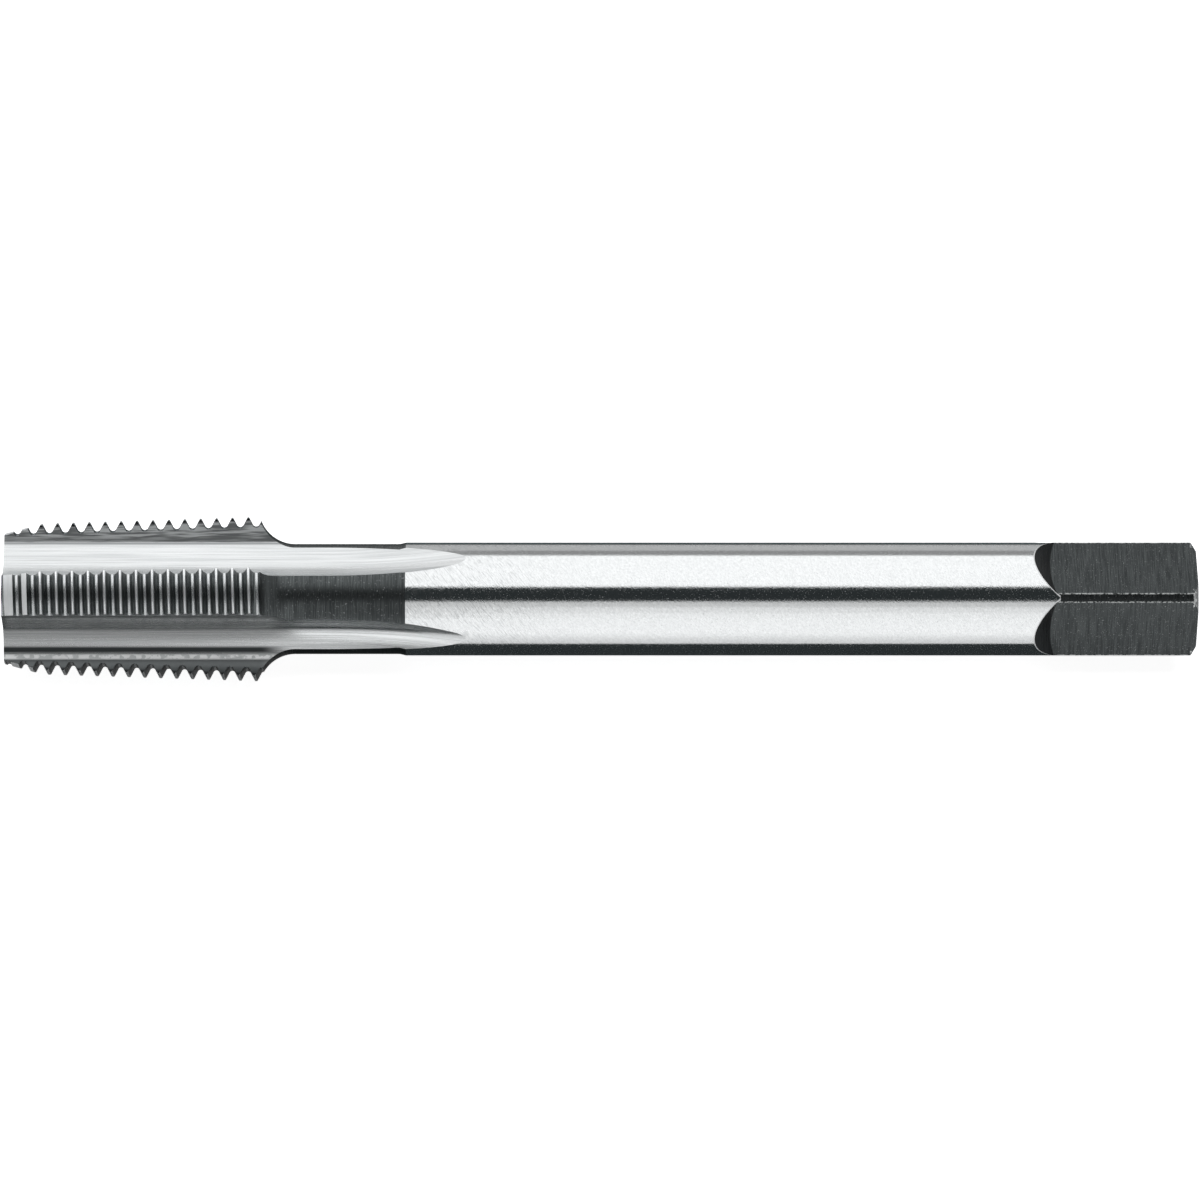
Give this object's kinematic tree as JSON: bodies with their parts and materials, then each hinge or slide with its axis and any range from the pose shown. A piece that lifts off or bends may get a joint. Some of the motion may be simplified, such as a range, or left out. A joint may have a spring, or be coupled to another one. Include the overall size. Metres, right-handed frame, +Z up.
{
  "type": "thread tap",
  "caption": "Taper pipe thread tap, quarter inch size: fluted tapered right-hand cutting thread, turned neck, round shank and driving square.",
  "frame": {"origin": "centre of the nose's front face, on the axis", "axes": "+X along the axis from the nose to the driving square, +Z up as the tap lies on two lands"},
  "size_m": [0.1, 0.0122, 0.0122],
  "materials": {
    "tool_steel": "bright ground high-speed steel, turned grey neck, milled square"
  },
  "bodies": {
    "root": {"tap": "tool_steel"}
  },
  "joints": []
}
